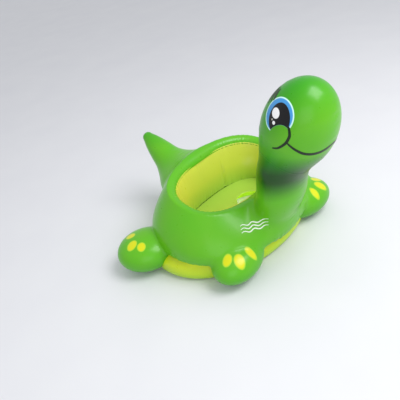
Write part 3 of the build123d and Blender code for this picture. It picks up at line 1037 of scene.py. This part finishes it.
def seat_floor(material):
    """Sling with two leg holes."""
    step = 4.0
    x, y = np.meshgrid(np.arange(-100, 104, step), np.arange(-156, 160, step), indexing="ij")
    points = np.stack([x, y, sling_height(x, y)], axis=-1).reshape(-1, 3)
    triangles = split_quads(grid_faces(*x.shape))
    angle = np.arctan2(points[:, 1], points[:, 0] - HUB_X)
    inside = reach(angle, OPENING) + 0.5 - np.hypot(points[:, 0] - HUB_X, points[:, 1])
    points, triangles = cut(points, triangles, inside)
    for side, label in ((1, "left"), (-1, "right")):
        u = (points[:, 0] - LEG_HOLE["x"]) / LEG_HOLE["radii"][0]
        v = (points[:, 1] - side * LEG_HOLE["y"]) / LEG_HOLE["radii"][1]
        points, triangles = cut(points, triangles, np.hypot(u, v) - 1)
        turn = np.linspace(0, 2 * np.pi, 120, endpoint=False)
        hem_x = LEG_HOLE["x"] + LEG_HOLE["radii"][0] * np.cos(turn)
        hem_y = side * LEG_HOLE["y"] + LEG_HOLE["radii"][1] * np.sin(turn)
        hem = np.stack([hem_x, hem_y, sling_height(hem_x, hem_y)], axis=-1)
        upward = np.broadcast_to((0.0, 0.0, 1.0), hem.shape)
        lime_cord(f"leg_hole_hem_{label}", hem, upward, (2.6, 1.2), material)
    mesh = make_mesh("seat_sling", points, triangles)
    add_piece("seat_sling", mesh, material, replaced=("seat_floor",))


# ---------------------------------------------------------------- valves
def valve_material(name, tint, roughness):
    """Soft moulded plastic."""
    paint = Paint(name, tint)
    paint.coat(tuple(0.82 * c for c in tint[:3]) + (1.0,), paint.noise(4).above(0.6, 0.3) * 0.5)
    return paint.finish(roughness=roughness, bump=0.15, grain=0.6, slack=5)


def valves():
    """Materials for the valve pieces that the CAD already draws in full."""
    finishes = {
        "flange": valve_material("valve_flange_plastic", colour(214, 232, 196), 0.4),
        "stem": valve_material("valve_stem_plastic", colour(228, 236, 222), 0.38),
        "flap": valve_material("valve_flap_plastic", colour(208, 214, 204), 0.45),
        "plug": valve_material("valve_plug_plastic", colour(238, 240, 236), 0.36),
    }
    for name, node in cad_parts.items():
        kind = name.rsplit("_", 1)[-1]
        if "_valve_" in name:
            node.data.materials.clear()
            node.data.materials.append(finishes[kind])


# ---------------------------------------------------------------- stage
# name, place, target, size and power of each light, in metres and watts
LIGHTS = (
    ("key", (1.1, 0.35, 1.9), (0, 0, 0.2), 1.2, 30),
    ("front", (1.6, -1.6, 1.0), (0, 0, 0.2), 1.5, 8),
    ("under_seat", (0.02, 0, 0.05), (0.02, 0, 0), 0.12, 0.3),
)
WORLD_COLOUR = (0.95, 0.97, 1.0, 1)
WORLD_STRENGTH = 0.72

# the camera fitted to the picture's outlines
CAMERA_TURN = math.radians(39.4)
CAMERA_RISE = math.radians(33.6)
CAMERA_ROLL = math.radians(-13.2)
CAMERA_DISTANCE = 1.218
CAMERA_LENS = 42.0
AIM_HEIGHT = 0.150
AIM_LEFT = 0.0756
AIM_DOWN = 0.0518


def area_light(name, place, target, size, power):
    """Square soft light aimed at a point."""
    data = bpy.data.lights.new(name, "AREA")
    data.size = size
    data.energy = power
    light = bpy.data.objects.new(name, data)
    light.location = place
    light.rotation_euler = (Vector(target) - Vector(place)).to_track_quat("-Z", "Y").to_euler()
    bpy.context.scene.collection.objects.link(light)


def stage():
    """Pale floor, pale world and soft lights."""
    floor = bpy.data.meshes.new("floor")
    floor.from_pydata([(-20, -20, 0), (20, -20, 0), (20, 20, 0), (-20, 20, 0)], [], [(0, 1, 2, 3)])
    ground = bpy.data.objects.new("floor", floor)
    bpy.context.scene.collection.objects.link(ground)
    paint = Paint("studio_floor", colour(226, 226, 229))
    paint.coat(colour(222, 222, 226), paint.noise(200).above(0.5, 0.6))
    floor.materials.append(paint.finish(roughness=0.7, bump=0.02))
    world = bpy.data.worlds.new("studio")
    world.use_nodes = True
    background = world.node_tree.nodes["Background"]
    background.inputs["Color"].default_value = WORLD_COLOUR
    background.inputs["Strength"].default_value = WORLD_STRENGTH
    bpy.context.scene.world = world
    for light in LIGHTS:
        area_light(*light)


def camera():
    """Camera at the photograph's viewing angle."""
    heading = math.pi / 2 - CAMERA_TURN
    level_share = math.cos(CAMERA_RISE)
    ahead, aside = level_share * math.sin(heading), -level_share * math.cos(heading)
    back = Vector((ahead, aside, math.sin(CAMERA_RISE)))
    level = Vector((0, 0, 1)).cross(back).normalized()
    upright = back.cross(level)
    right = math.cos(CAMERA_ROLL) * level + math.sin(CAMERA_ROLL) * upright
    up = math.cos(CAMERA_ROLL) * upright - math.sin(CAMERA_ROLL) * level
    target = Vector((0, 0, AIM_HEIGHT)) - AIM_LEFT * right - AIM_DOWN * up
    data = bpy.data.cameras.new("camera")
    data.lens = CAMERA_LENS
    data.sensor_width = 36.0
    data.clip_end = 60
    view = bpy.data.objects.new("camera", data)
    view.matrix_world = Matrix((right, up, back)).transposed().to_4x4()
    view.location = target + CAMERA_DISTANCE * back
    bpy.context.scene.collection.objects.link(view)
    bpy.context.scene.camera = view
    bpy.context.scene.view_settings.view_transform = "Standard"


def main():
    """Build every piece, the stage and the camera."""
    green = green_vinyl()
    skin = green_skin(green)
    face_lines(ink(), skin)
    flank_marks(skin)
    lime = lime_vinyl()
    lower_chamber(lime)
    seat(seat_vinyl())
    valves()
    stage()
    camera()


main()
